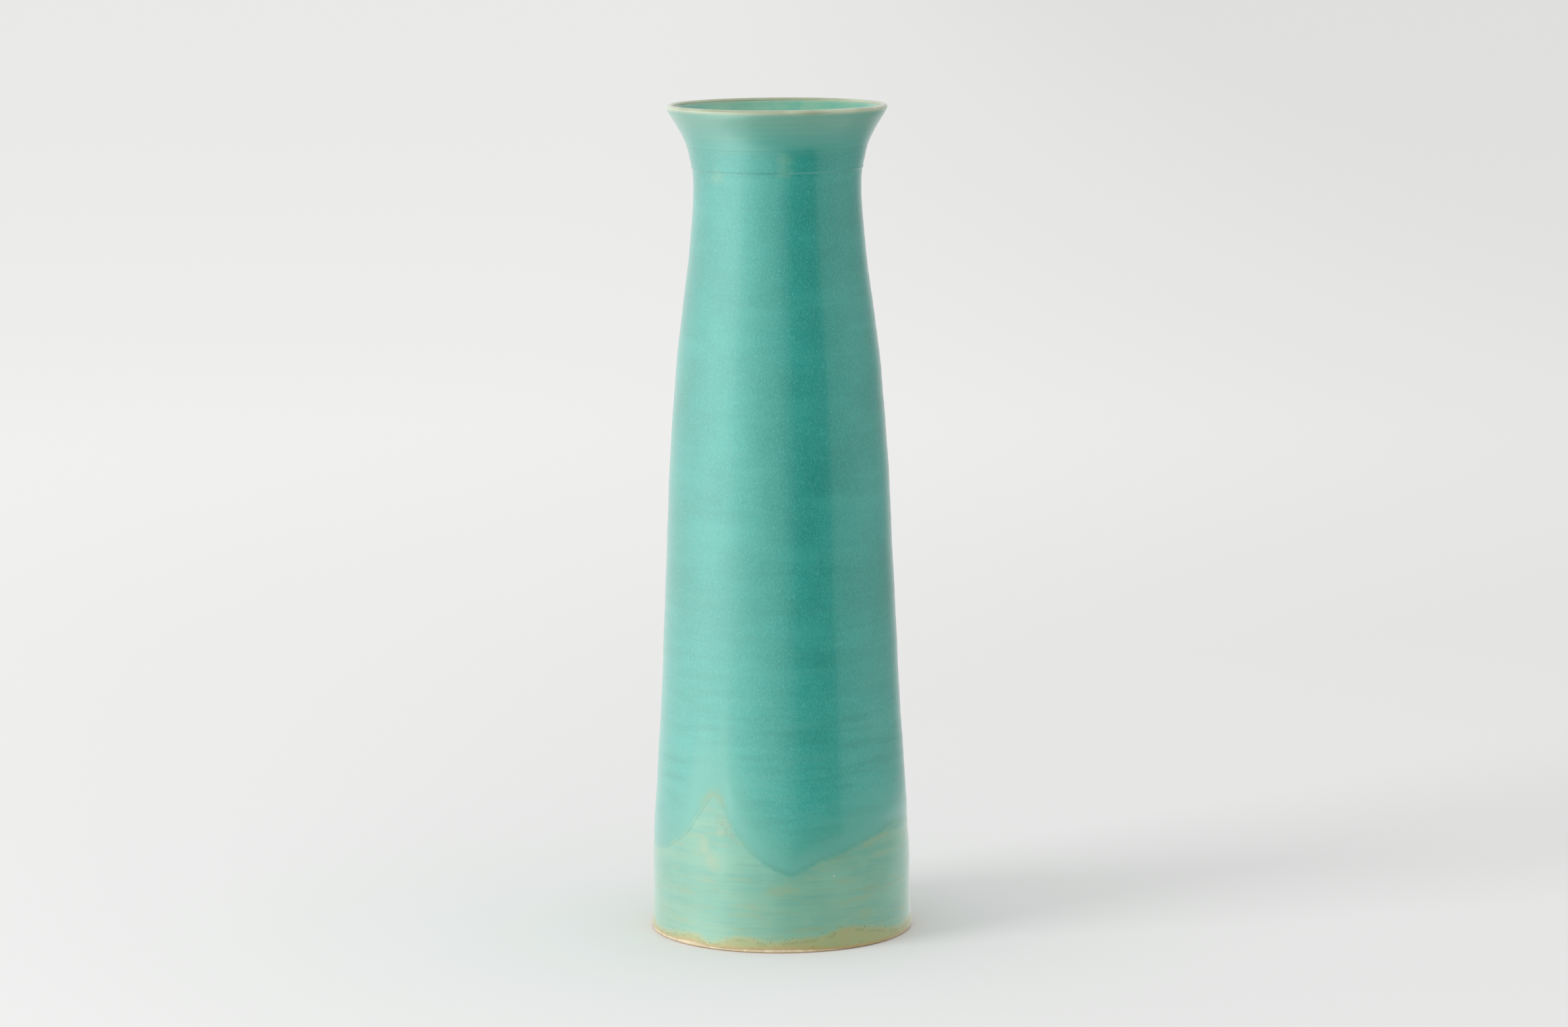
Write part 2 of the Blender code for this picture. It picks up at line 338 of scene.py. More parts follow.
def calc(tree, operation, first, second=0.0, third=0.0):
    return put(tree, "Math", {0: first, 1: second, 2: third}, operation=operation).outputs[0]


def times(tree, first, second):
    return calc(tree, "MULTIPLY", first, second)


def spread(tree, value, low, high, toLow=0.0, toHigh=1.0, smooth=True):
    # value from one range to another, held at the ends
    style = "SMOOTHSTEP" if smooth else "LINEAR"
    sockets = {"Value": value, "From Min": low, "From Max": high, "To Min": toLow, "To Max": toHigh}
    return put(tree, "MapRange", sockets, interpolation_type=style).outputs[0]


def mixed(tree, factor, first, second):
    node = put(tree, "Mix", data_type="RGBA")
    feed(tree, node.inputs[0], factor)
    feed(tree, node.inputs[6], first)
    feed(tree, node.inputs[7], second)
    return node.outputs[2]


def stretched(tree, vector, across, along):
    # place counted in cells of the given width across the wall and length along its height
    wide = calc(tree, "DIVIDE", 1.0, across)
    tall = calc(tree, "DIVIDE", 1.0, along)
    scale = put(tree, "CombineXYZ", {"X": wide, "Y": wide, "Z": tall}).outputs[0]
    return put(tree, "VectorMath", {0: vector, 1: scale}, operation="MULTIPLY").outputs[0]


def cloud(tree, vector, scale, detail=3.0, roughness=0.55):
    # soft noise between about 0.3 and 0.7; scale in lumps for each metre
    sockets = {"Vector": vector, "Scale": scale, "Detail": detail, "Roughness": roughness}
    return put(tree, "TexNoise", sockets, noise_dimensions="3D").outputs["Fac"]


def patches(tree, place, pattern, toLow=0.0, toHigh=1.0):
    # mask from (lumps for each metre, noise where a patch starts, noise where it is full)
    lumps, low, high = pattern
    return spread(tree, cloud(tree, place, lumps), low, high, toLow, toHigh)


def heightOn(tree, place):
    return put(tree, "SeparateXYZ", {0: place}).outputs["Z"]


def newGroup(name, inputs, outputs):
    group = bpy.data.node_groups.new(name, "ShaderNodeTree")
    kinds = {float: "NodeSocketFloat", tuple: "NodeSocketVector"}
    for label, value in inputs.items():
        socket = group.interface.new_socket(name=label, in_out="INPUT", socket_type=kinds[type(value)])
        socket.default_value = value
    for label in outputs:
        group.interface.new_socket(name=label, in_out="OUTPUT", socket_type="NodeSocketFloat")
    given = group.nodes.new("NodeGroupInput").outputs
    return group, given, group.nodes.new("NodeGroupOutput").inputs


def buildHangingGrain():
    # fine dashes that run down the wall, as where a glaze crystallises while it flows
    inputs = {"Vector": (0.0, 0.0, 0.0), "Width": 0.0005, "Length": 0.003}
    group, given, result = newGroup("hangingGrain", inputs, ["Light", "Dark"])
    faint, full = 0.53, 0.68
    place = stretched(group, given["Vector"], given["Width"], given["Length"])
    moved = put(group, "VectorMath", {0: place, 1: (31.4, 17.2, 53.7)}, operation="ADD").outputs[0]
    feed(group, result["Light"], spread(group, cloud(group, place, 1.0, 2.0), faint, full))
    feed(group, result["Dark"], spread(group, cloud(group, moved, 1.0, 2.0), faint, full))
    return group


def buildThrowingLines():
    # faint level streaks round the pot
    inputs = {"Vector": (0.0, 0.0, 0.0), "Spacing": 0.002, "Run": 0.08}
    group, given, result = newGroup("throwingLines", inputs, ["Value"])
    place = stretched(group, given["Vector"], given["Run"], given["Spacing"])
    feed(group, result["Value"], cloud(group, place, 1.0, 2.0, 0.45))
    return group


def buildFlecks():
    # round spots of uneven size; share is how many cells of the pattern hold one
    inputs = {"Vector": (0.0, 0.0, 0.0), "Spacing": 0.004, "Size": 0.0006, "Share": 0.5}
    group, given, result = newGroup("flecks", inputs, ["Mask"])
    fullInside = 0.55    # share of the spot's radius
    perMetre = calc(group, "DIVIDE", 1.0, given["Spacing"])
    cells = put(group, "TexVoronoi", {"Vector": given["Vector"], "Scale": perMetre, "Randomness": 1.0})
    chance = put(group, "SeparateColor", {0: cells.outputs["Color"]}).outputs
    size = times(group, given["Size"], times(group, chance["Green"], perMetre))
    spot = spread(group, cells.outputs["Distance"], times(group, size, fullInside), size, 1.0, 0.0)
    picked = calc(group, "LESS_THAN", chance["Red"], given["Share"])
    feed(group, result["Mask"], times(group, spot, picked))
    return group


def buildRaggedLine():
    # 0 below a glaze line and 1 above it, with an uneven soft edge
    inputs = {"Distance": 0.0, "Vector": (0.0, 0.0, 0.0), "Softness": 0.0008, "Ragged": 0.001, "Size": 0.004}
    group, given, result = newGroup("raggedLine", inputs, ["Mask"])
    lumps = calc(group, "DIVIDE", 1.0, given["Size"])
    waver = calc(group, "SUBTRACT", cloud(group, given["Vector"], lumps, 4.0, 0.65), 0.5)
    reach = times(group, given["Ragged"], 4.0)
    shifted = calc(group, "MULTIPLY_ADD", waver, reach, given["Distance"])
    low = times(group, given["Softness"], -1.0)
    feed(group, result["Mask"], spread(group, shifted, low, given["Softness"]))
    return group


effects = {
    "hangingGrain": buildHangingGrain(),
    "throwingLines": buildThrowingLines(),
    "flecks": buildFlecks(),
    "raggedLine": buildRaggedLine(),
}
print("node groups: %s" % ", ".join(effects))


def effect(tree, name, place, **sockets):
    node = tree.nodes.new("ShaderNodeGroup")
    node.node_tree = effects[name]
    for label, value in dict(sockets, Vector=place).items():
        feed(tree, node.inputs[label], value)
    return node.outputs


def levelLines(tree, place, pattern):
    # streaks from (spacing, run)
    spacing, run = pattern
    return effect(tree, "throwingLines", place, Spacing=spacing, Run=run)["Value"]


def flecked(tree, place, pattern):
    # spots from (spacing, size, share of the cells that hold one)
    spacing, size, share = pattern
    return effect(tree, "flecks", place, Spacing=spacing, Size=size, Share=share)["Mask"]


def ragged(tree, place, distance, pattern):
    # edge from (softness, raggedness, size of the lumps)
    softness, rough, size = pattern
    edge = effect(tree, "raggedLine", place, Distance=distance, Softness=softness, Ragged=rough, Size=size)
    return edge["Mask"]


def overLine(tree, name):
    return put(tree, "Attribute", attribute_name=name).outputs["Fac"]


def marked(tree, place, spots, lumps=420.0):
    # soft ragged marks from (degrees from the front towards +X, height, size)
    total = 0.0
    waver = calc(tree, "MULTIPLY_ADD", cloud(tree, place, lumps), 1.6, -0.8)
    for azimuth, height, size in spots:
        turn = math.radians(azimuth)
        radius = overSkin(height, 0.001)
        spot = (math.sin(turn) * radius, -math.cos(turn) * radius, height)
        away = put(tree, "VectorMath", {0: place, 1: spot}, operation="DISTANCE").outputs["Value"]
        share = calc(tree, "ADD", calc(tree, "DIVIDE", away, size), waver)
        total = calc(tree, "MAXIMUM", total, spread(tree, share, 0.0, 1.0, 1.0, 0.0))
    return total


def newFinish(name, roughness, coat=0.0, coatRoughness=0.1):
    # a Principled material, its tree, its shader and the place on the piece
    material = bpy.data.materials.new(name)
    material.use_nodes = True
    tree = material.node_tree
    shader = tree.nodes["Principled BSDF"]
    shader.inputs["Roughness"].default_value = roughness
    shader.inputs["Coat Weight"].default_value = coat
    shader.inputs["Coat Roughness"].default_value = coatRoughness
    return material, tree, shader, put(tree, "TexCoord").outputs["Object"]


def newGlaze(name, values):
    return newFinish(name, values["roughness"], values["coat"], values["coatRoughness"])


def bumped(tree, shader, height, strength, distance):
    sockets = {"Height": height, "Strength": strength, "Distance": distance}
    feed(tree, shader.inputs["Normal"], put(tree, "Bump", sockets).outputs[0])


def orangePeel(tree, shader, place, strength, more=None):
    # the skin of a satin glaze, a little uneven
    fine, broad, broadShare, depth = 420.0, 90.0, 1.4, 0.0004
    height = cloud(tree, place, fine, 2.0)
    height = calc(tree, "ADD", height, times(tree, cloud(tree, place, broad, 2.0), broadShare))
    if more is not None:
        height = calc(tree, "ADD", height, more)
    bumped(tree, shader, height, strength, depth)


# the pale first coat

seaGreen = {
    "gap": 0.0003,                  # from the clay to the back of the coat
    "cover": 0.0007,                # from the clay to its face
    "rows": [(0.006, 0.100, 0.0011), (0.104, 0.412, 0.005), (0.4135, 0.4455, 0.0008)],
    "lift": 0.110,                  # the wave of its lower edge has died out at this height
    "roughness": 0.31,
    "coat": 0.5,
    "coatRoughness": 0.14,
    "peel": 0.16,
    "patches": (34.0, 0.38, 0.64),
    "lines": (0.0050, 0.040),
    "fineLines": (0.0016, 0.028),
    "smears": (0.0040, 0.020),
    "warmLines": 0.3,
    "warmFine": 0.12,
    "deepLines": 0.42,
    "darkFine": 0.26,
    "oliveSmears": 0.5,
    "lowBand": 0.030,               # it is paler this far over the wash
    "lowPatches": (120.0, 0.4, 0.62),
    "stain": (900.0, 0.4, 0.6),
    "peachShare": 0.17,
    "stillOlive": 0.0013,           # it is still olive this far over the wash
    "oliveEdge": (0.0021, 0.0009, 0.003),
    "dots": (0.0013, 0.0006, 0.5),
    "dotReach": (0.0008, 0.0045),
    "dotShare": 0.75,
    "collarLines": (0.0016, 0.05),
    "collarRise": (0.428, 0.447),
    "lipPatches": (22.0, 0.4, 0.6),
    "lipBreak": (0.4464, 0.4490),
    "tones": {                      # display values of 0 to 255
        "base": (100, 165, 144),
        "yellow": (126, 168, 134),
        "deep": (88, 155, 135),
        "streak": (88, 142, 118),
        "smear": (124, 154, 118),
        "low": (112, 163, 138),
        "peach": (196, 168, 118),
        "greyOlive": (112, 132, 104),
        "overWash": (146, 158, 108),
        "fleck": (80, 88, 46),
        "collarLow": (44, 144, 129),
        "collarHigh": (88, 149, 130),
        "lipCream": (176, 186, 158),
        "lipTan": (150, 160, 132),
    },
    "marks": {                      # degrees from the front towards +X, height, size
        "peach": [(-28.5, 0.0640, 0.0036), (-32.5, 0.0480, 0.0095), (-37.0, 0.0560, 0.0060)],
        "greyOlive": [(-25.0, 0.0680, 0.0062), (-28.5, 0.0700, 0.0060), (-22.0, 0.0620, 0.0040)],
        "pinhole": [(55.6, 0.0125, 0.0007), (59.5, 0.0123, 0.0006), (-118.0, 0.0210, 0.0006)],
        "paleFleck": [(23.6, 0.0407, 0.0009), (-152.0, 0.0330, 0.0008)],
    },
}


def seaGreenColour(tree, place):
    # from the olive wash at its foot up to the main coat
    values, tones, marks = seaGreen, tonesOf(seaGreen), seaGreen["marks"]
    colour = mixed(tree, patches(tree, place, values["patches"]), tones["base"], tones["deep"])
    lines = levelLines(tree, place, values["lines"])
    fine = levelLines(tree, place, values["fineLines"])
    smears = levelLines(tree, place, values["smears"])
    low = spread(tree, overLine(tree, "washEdge"), 0.0, values["lowBand"], 1.0, 0.0)
    low = times(tree, low, patches(tree, place, values["lowPatches"], 0.7, 1.0))
    colour = mixed(tree, low, colour, tones["low"])
    warm = calc(tree, "ADD", spread(tree, lines, 0.40, 0.70, 0.0, values["warmLines"]),
                spread(tree, fine, 0.45, 0.75, 0.0, values["warmFine"]))
    colour = mixed(tree, warm, colour, tones["yellow"])
    colour = mixed(tree, spread(tree, lines, 0.50, 0.32, 0.0, values["deepLines"]), colour, tones["deep"])
    colour = mixed(tree, spread(tree, fine, 0.44, 0.30, 0.0, values["darkFine"]), colour, tones["streak"])
    colour = mixed(tree, spread(tree, smears, 0.50, 0.70, 0.0, values["oliveSmears"]), colour, tones["smear"])
    # stains near the peak, a few pale and dark points
    peach = times(tree, marked(tree, place, marks["peach"], 110.0), values["peachShare"])
    colour = mixed(tree, peach, colour, tones["peach"])
    stained = times(tree, marked(tree, place, marks["greyOlive"]),
                    patches(tree, place, values["stain"], 0.15, 0.6))
    colour = mixed(tree, stained, colour, tones["greyOlive"])
    colour = mixed(tree, marked(tree, place, marks["paleFleck"]), colour, tones["lipCream"])
    return mixed(tree, marked(tree, place, marks["pinhole"]), colour, tones["fleck"])


def collarColour(tree, place, height):
    # over the collar, greener towards the lip, which breaks cream and tan
    values, tones = seaGreen, tonesOf(seaGreen)
    lines = levelLines(tree, place, values["collarLines"])
    rise = spread(tree, height, *values["collarRise"])
    colour = mixed(tree, rise, tones["collarLow"], tones["collarHigh"])
    colour = mixed(tree, spread(tree, lines, 0.42, 0.70, 0.0, 0.1), colour, tones["yellow"])
    broken = mixed(tree, patches(tree, place, values["lipPatches"]), tones["lipCream"], tones["lipTan"])
    return mixed(tree, spread(tree, height, *values["lipBreak"]), colour, broken)


def seaGreenFinish():
    values, tones = seaGreen, tonesOf(seaGreen)
    material, tree, shader, place = newGlaze("seaGreenGlaze", values)
    height = heightOn(tree, place)
    colour = mixed(tree, spread(tree, height, 0.2, 0.3), seaGreenColour(tree, place),
                   collarColour(tree, place, height))
    overWash = overLine(tree, "washEdge")
    clear = ragged(tree, place, calc(tree, "SUBTRACT", overWash, values["stillOlive"]), values["oliveEdge"])
    colour = mixed(tree, clear, tones["overWash"], colour)
    near = spread(tree, overWash, *values["dotReach"], values["dotShare"], 0.0)
    dots = times(tree, flecked(tree, place, values["dots"]), near)
    colour = mixed(tree, dots, colour, tones["fleck"])
    feed(tree, shader.inputs["Base Color"], colour)
    orangePeel(tree, shader, place, values["peel"])
    return material


def seaGreenCoat():
    # from the wash over the whole wall and round the lip
    values = seaGreen
    rows = rowsOf(*values["rows"])
    start, lift = rows[0], values["lift"]
    outside = [(overSkin(height, values["cover"]), height) for height in rows]
    lip = arcPoints(lipCentre, claySkin["lipGlazed"], -28, 176, 18)
    back = arcPoints(lipCentre, claySkin["lipRadius"] + values["gap"], 170, -28, 8)
    inside = [(overSkin(height, values["gap"]), height) for height in reversed(rows[::3])]
    shell = turned(outside + lip + back + inside, claySkin["columns"])
    for vert in shell.verts:
        if vert.co.z < lift:
            slideTo(vert, pulledTo("washEdge", azimuthOf(vert.co), vert.co.z, start, lift))
    return placePiece("seaGreenCoat", shell, seaGreenFinish(), "sea_green_glaze", "first_coat")


# the blue-green main coat

blueGreen = {
    "gap": 0.00074,                 # from the clay to the back of the coat
    "cover": 0.0014,                # from the clay to its face
    "tip": 0.00077,                 # cover where the coat runs out
    "taper": 0.013,                 # it thins over this distance from its wavy edge
    "topTaper": 0.008,
    "start": 0.05,
    "lift": 0.170,                  # the wave of its edge has died out at this height
    "backRows": 6,                  # the back has one row for this many of the face
    "allRowsFrom": 0.38,
    "roughness": 0.33,
    "coat": 0.5,
    "coatRoughness": 0.14,
    "peel": 0.16,
    "patches": (24.0, 0.38, 0.64),
    "bounceLitLow": (0.07, 0.22),        # it is paler under these heights: painted light, standing in for light bounced up from the floor
    "bounceLitLowShare": 0.75,
    "grain": (0.00034, 0.0012),     # width and length
    "grainShare": 0.5,
    "grainBump": 0.3,
    "coarseGrain": (0.0008, 0.006),
    "coarseLight": 0.09,
    "coarseDark": 0.10,
    "bands": (0.014, 0.075),        # broad soft bands where the wall was thrown thicker and thinner
    "bandLight": 0.24,
    "bandDark": 0.22,
    "wisps": (0.0046, 0.032),
    "wispReach": (0.08, 0.24),
    "wispLow": 0.42,
    "wispHigh": 0.12,
    "wispPale": 0.6,                # strength of the pale wisps against the dark ones
    "thinReach": 0.034,             # it is thinner and greener this far over its edge
    "thinShare": 0.9,
    "linePatches": (45.0, 0.38, 0.62),
    "runsOut": 0.0006,
    "edge": (0.0020, 0.0016, 0.006),
    "bloomPatches": (60.0, 0.36, 0.62),
    "bloomReach": 0.0062,
    "peakFrom": (0.074, 0.084),     # the bloom is full over these heights
    "yellowShare": 0.26,
    "thinsAt": 0.4268,              # above the slip bead it thins into the collar
    "topEdge": (0.0042, 0.0012, 0.012),
    "tones": {                      # display values of 0 to 255
        "deep": (18, 137, 125),
        "light": (26, 145, 133),
        # low: the paler body colour low down, painted bounce light from the floor
        "low": (46, 158, 145),
        "thin": (74, 154, 137),
        "edgeLine": (60, 142, 124),
        "bandLight": (58, 162, 149),
        "bandDark": (20, 124, 112),
        "grainLight": (88, 182, 166),
        "grainDark": (8, 104, 92),
        "wispDark": (30, 130, 114),
        "bloom": (112, 146, 108),
        "yellow": (126, 168, 134),
        "speck": (39, 48, 39),
    },
    "marks": {                      # degrees from the front towards +X, height, size
        "yellow": [(4.3, 0.4230, 0.0080), (4.6, 0.4180, 0.0070), (-44.0, 0.4130, 0.0070)],
        "speck": [(1.7, 0.2216, 0.0006), (-12.8, 0.1216, 0.0006), (33.0, 0.3100, 0.0005),
                  (150.0, 0.1800, 0.0007)],
    },
}


def grained(tree, place, colour, pattern, light, dark):
    # grain that hangs down the wall, pale and dark, from (width, length)
    tones = tonesOf(blueGreen)
    width, length = pattern
    grain = effect(tree, "hangingGrain", place, Width=width, Length=length)
    colour = mixed(tree, times(tree, grain["Light"], light), colour, tones["grainLight"])
    return mixed(tree, times(tree, grain["Dark"], dark), colour, tones["grainDark"]), grain["Light"]


def blueGreenFinish():
    values, tones, marks = blueGreen, tonesOf(blueGreen), blueGreen["marks"]
    material, tree, shader, place = newGlaze("blueGreenGlaze", values)
    height = heightOn(tree, place)
    overMain = overLine(tree, "mainEdge")
    colour = mixed(tree, patches(tree, place, values["patches"]), tones["deep"], tones["light"])
    # painted bounce light: the body is paler low down, where the floor lights it
    bounceLitLow = spread(tree, height, *values["bounceLitLow"], values["bounceLitLowShare"], 0.0)
    colour = mixed(tree, bounceLitLow, colour, tones["low"])
    share = values["grainShare"]
    colour, crystals = grained(tree, place, colour, values["grain"], share, share)
    light, dark = values["coarseLight"], values["coarseDark"]
    colour = grained(tree, place, colour, values["coarseGrain"], light, dark)[0]
    bands = levelLines(tree, place, values["bands"])
    light, dark = values["bandLight"], values["bandDark"]
    colour = mixed(tree, spread(tree, bands, 0.50, 0.70, 0.0, light), colour, tones["bandLight"])
    colour = mixed(tree, spread(tree, bands, 0.48, 0.28, 0.0, dark), colour, tones["bandDark"])
    # level wisps from the throwing, strongest low down
    wisps = levelLines(tree, place, values["wisps"])
    strength = spread(tree, height, *values["wispReach"], values["wispLow"], values["wispHigh"])
    dark = times(tree, spread(tree, wisps, 0.46, 0.74), strength)
    colour = mixed(tree, dark, colour, tones["wispDark"])
    pale = times(tree, spread(tree, wisps, 0.52, 0.26), times(tree, strength, values["wispPale"]))
    colour = mixed(tree, pale, colour, tones["thin"])
    # thinner over its last few centimetres, with a deeper line just inside the edge
    thin = spread(tree, overMain, 0.0, values["thinReach"], values["thinShare"], 0.0)
    colour = mixed(tree, thin, colour, tones["thin"])
    line = times(tree, spread(tree, overMain, 0.0, 0.0014), spread(tree, overMain, 0.0016, 0.0042, 1.0, 0.0))
    line = times(tree, line, patches(tree, place, values["linePatches"], 0.1, 0.7))
    colour = mixed(tree, line, colour, tones["edgeLine"])
    edge = ragged(tree, place, calc(tree, "SUBTRACT", overMain, values["runsOut"]), values["edge"])
    colour = mixed(tree, edge, seaGreenColour(tree, place), colour)
    # olive bloom round the tip of the peak and, fainter, along the edge
    bloom = times(tree, spread(tree, overMain, -0.001, 0.001),
                  spread(tree, overMain, 0.001, values["bloomReach"], 1.0, 0.0))
    uneven = times(tree, patches(tree, place, values["bloomPatches"], 0.1, 0.6),
                   spread(tree, height, *values["peakFrom"], 0.2, 1.1))
    colour = mixed(tree, times(tree, bloom, uneven), colour, tones["bloom"])
    # yellow over the bead, the collar, a few dark specks
    yellow = times(tree, marked(tree, place, marks["yellow"], 160.0), values["yellowShare"])
    colour = mixed(tree, yellow, colour, tones["yellow"])
    body = ragged(tree, place, calc(tree, "SUBTRACT", values["thinsAt"], height), values["topEdge"])
    colour = mixed(tree, body, collarColour(tree, place, height), colour)
    colour = mixed(tree, marked(tree, place, marks["speck"]), colour, tones["speck"])
    feed(tree, shader.inputs["Base Color"], colour)
    orangePeel(tree, shader, place, values["peel"], times(tree, crystals, values["grainBump"]))
    return material


def blueGreenCoat():
    # over the first coat, from above the neck down to its wavy peaked edge
    values = blueGreen
    start, lift = values["start"], values["lift"]
    rows = rowsOf((start, 0.100, 0.0013), (0.1017, beadAt - 0.0024, 0.0018),
                  (beadAt - 0.0018, beadAt + 0.0018, 0.00024), (beadAt + 0.0022, mainTop, 0.0012))
    outside = [(overSkin(height, values["cover"]), height) for height in rows]
    sparse = [height for index, height in enumerate(rows)
              if index % values["backRows"] == 0 or height > values["allRowsFrom"]]
    inside = [(overSkin(height, values["gap"]), height) for height in reversed(sparse)]
    shell = turned(outside + inside, claySkin["columns"])
    for vert in shell.verts:
        azimuth = azimuthOf(vert.co)
        radius = math.hypot(vert.co.x, vert.co.y)
        height = vert.co.z
        outer = radius > overSkin(height, (values["cover"] + values["gap"]) / 2)
        if height < lift:
            height = pulledTo("mainEdge", azimuth, height, start, lift)
        cover = values["gap"]
        if outer:
            above = distanceOver("mainEdge", azimuth, height, radius)
            full = eased(above, -0.0004, values["taper"]) * eased(mainTop - height, 0, values["topTaper"])
            cover = values["tip"] + (values["cover"] - values["tip"]) * full
        scale = overSkin(height, cover) / radius
        vert.co = (vert.co.x * scale, vert.co.y * scale, height)
    return placePiece("blueGreenCoat", shell, blueGreenFinish(), "blue_green_glaze", "main_coat")


# the olive wash round the foot

olive = {
    "gap": 0.0003,
    "cover": 0.00068,
    "low": 0.002,                   # its level edges, before they follow the wavy lines
    "high": 0.006,
    "leastBand": 0.0008,
    "roughness": 0.38,
    "coat": 0.35,
    "coatRoughness": 0.18,
    "peel": 0.25,
    "patches": (110.0, 0.38, 0.62),
    "dashes": (0.0006, 0.0045),
    "ochreReach": (0.0003, 0.0020),
    "poolReach": (-0.0028, -0.0002),
    "poolShare": 0.4,
    "pools": (240.0, 0.44, 0.58),
    "flecks": (0.0015, 0.0006, 0.3),
    "fleckShare": 0.55,
    "tones": {
        "top": (146, 158, 108),
        "middle": (152, 156, 106),
        "ochre": (166, 142, 84),
        "pool": (112, 128, 78),
        "fleck": (80, 88, 46),
    },
}


def oliveFinish():
    values, tones = olive, tonesOf(olive)
    material, tree, shader, place = newGlaze("oliveWash", values)
    colour = mixed(tree, patches(tree, place, values["patches"]), tones["top"], tones["middle"])
    dashes = levelLines(tree, place, values["dashes"])
    low = spread(tree, overLine(tree, "clayEdge"), *values["ochreReach"], 1.0, 0.0)
    ochre = times(tree, low, spread(tree, dashes, 0.36, 0.58, 0.35, 1.0))
    colour = mixed(tree, ochre, colour, tones["ochre"])
    # pooled darker in patches along its top
    rim = spread(tree, overLine(tree, "washEdge"), *values["poolReach"], 0.0, values["poolShare"])
    pooled = times(tree, rim, patches(tree, place, values["pools"]))
    colour = mixed(tree, pooled, colour, tones["pool"])
    flecks = times(tree, flecked(tree, place, values["flecks"]), values["fleckShare"])
    colour = mixed(tree, flecks, colour, tones["fleck"])
    feed(tree, shader.inputs["Base Color"], colour)
    orangePeel(tree, shader, place, values["peel"])
    return material


def oliveWash():
    # thin band between the bare clay and the first coat
    values = olive
    low, high = values["low"], values["high"]
    rows = rowsOf((low, high, 0.0005))
    outside = [(overSkin(height, values["cover"]), height) for height in rows]
    inside = [(overSkin(height, values["gap"]), height) for height in reversed(rows)]
    shell = turned(outside + inside, claySkin["columns"])
    for vert in shell.verts:
        azimuth = azimuthOf(vert.co)
        bottom = lineHeight("clayEdge", azimuth)
        top = max(lineHeight("washEdge", azimuth), bottom + values["leastBand"])
        slideTo(vert, bottom + (top - bottom) * (vert.co.z - low) / (high - low))
    return placePiece("oliveWash", shell, oliveFinish(), "olive_wash", "foot_wash")


# the clay

foot = {
    "bevel": 0.0008,
    "ringWidth": 0.0092,
    "ringChamfer": 0.0006,
    "recess": 0.0035,               # depth
    "recessEdge": 0.0124,           # in from the outer edge
    "recessChamfer": (0.0006, 0.0003),
    "rowSpacing": 0.0035,
    "outsideFrom": 0.0018,
    "insideFrom": 0.0240,
    "roughness": 0.85,
    "patches": (240.0, 0.38, 0.62),
    "grog": (0.0022, 0.0006, 0.25),
    "grogShare": 0.5,
    "contactShade": (0.0003, 0.0010),     # painted contact shade: the very edge is browner, standing in for the shade where the foot meets the floor
    "contactShadeShare": 0.7,
    "tooth": 0.4,
    "tones": {
        "clay": (224, 210, 180),
        "dark": (206, 190, 156),
        "grog": (160, 130, 92),
    },
}


def clayMaterial():
    values, tones = foot, tonesOf(foot)
    material, tree, shader, place = newFinish("bareClay", values["roughness"])
    colour = mixed(tree, patches(tree, place, values["patches"]), tones["clay"], tones["dark"])
    grog = times(tree, flecked(tree, place, values["grog"]), values["grogShare"])
    colour = mixed(tree, grog, colour, tones["grog"])
    # painted contact shade: the grog colour darkens the bottom millimetre of the clay, where the foot meets
    # the floor
    contactShade = spread(tree, heightOn(tree, place), *values["contactShade"], values["contactShadeShare"], 0.0)
    colour = mixed(tree, contactShade, colour, tones["grog"])
    feed(tree, shader.inputs["Base Color"], colour)
    bumped(tree, shader, cloud(tree, place, 900.0, 4.0), values["tooth"], 0.0006)
    return material


def turnedFoot():
    # lower thrown section: foot ring, recess, floor and the wall up to the waist joint
    values = foot
    outer = claySkin["knots"][0][1]
    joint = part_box("base_section")[1].z
    bevel, chamfer, depth, heel = values["bevel"], values["ringChamfer"], values["recess"], claySkin["heel"]
    edge, ring = outer - values["recessEdge"], outer - values["ringWidth"]
    inward, down = values["recessChamfer"]
    recess = [(0, depth), (0.03, depth), (edge, depth), (edge + inward, depth - down)]
    ringInner = [(ring - chamfer, chamfer), (ring, 0.0)]
    ringOuter = arcPoints((outer - bevel, bevel), bevel, -90, 0, 6)
    rows = rowsOf((values["outsideFrom"], joint, values["rowSpacing"]))
    outside = [(skinRadius(height), height) for height in rows]
    innerRows = [height for height in reversed(rows) if height > values["insideFrom"]]
    inside = [(skinRadius(height) - wallAt(height), height) for height in innerRows]
    turn = arcPoints((inside[-1][0] - heel, claySkin["floorTop"] + heel), heel, 0, -90, 10)
    outline = recess + ringInner + ringOuter + outside + inside + turn + [(0, claySkin["floorTop"])]
    shell = turned(outline, claySkin["columns"], closed=False)
    return placePiece("turnedFoot", shell, clayMaterial(), "stoneware_clay", "base_section")


# the lining

lining = {
    "gap": 0.0003,
    "cover": 0.0007,
    "rows": (0.0240, 0.4440, 0.003),
    "lipStep": 0.0001,              # it lies this far under the glaze of the lip
    "columns": 180,
    "roughness": 0.24,
    "coat": 0.6,
    "coatRoughness": 0.10,
    "peel": 0.16,
    "patches": (38.0, 0.36, 0.66),
    "lines": (0.004, 0.05),
    "lineShare": 0.35,
    "underLip": (0.425, 0.446),     # it runs yellow-green over these heights
    "yellowPatches": (45.0, 0.42, 0.66),
    "lipBreak": (0.4470, 0.4490),
    "lipShare": 0.6,
    "tones": {
        "deep": (78, 160, 140),
        "pale": (104, 174, 152),
        "yellow": (150, 184, 144),
        "cream": (176, 186, 158),
    },
}


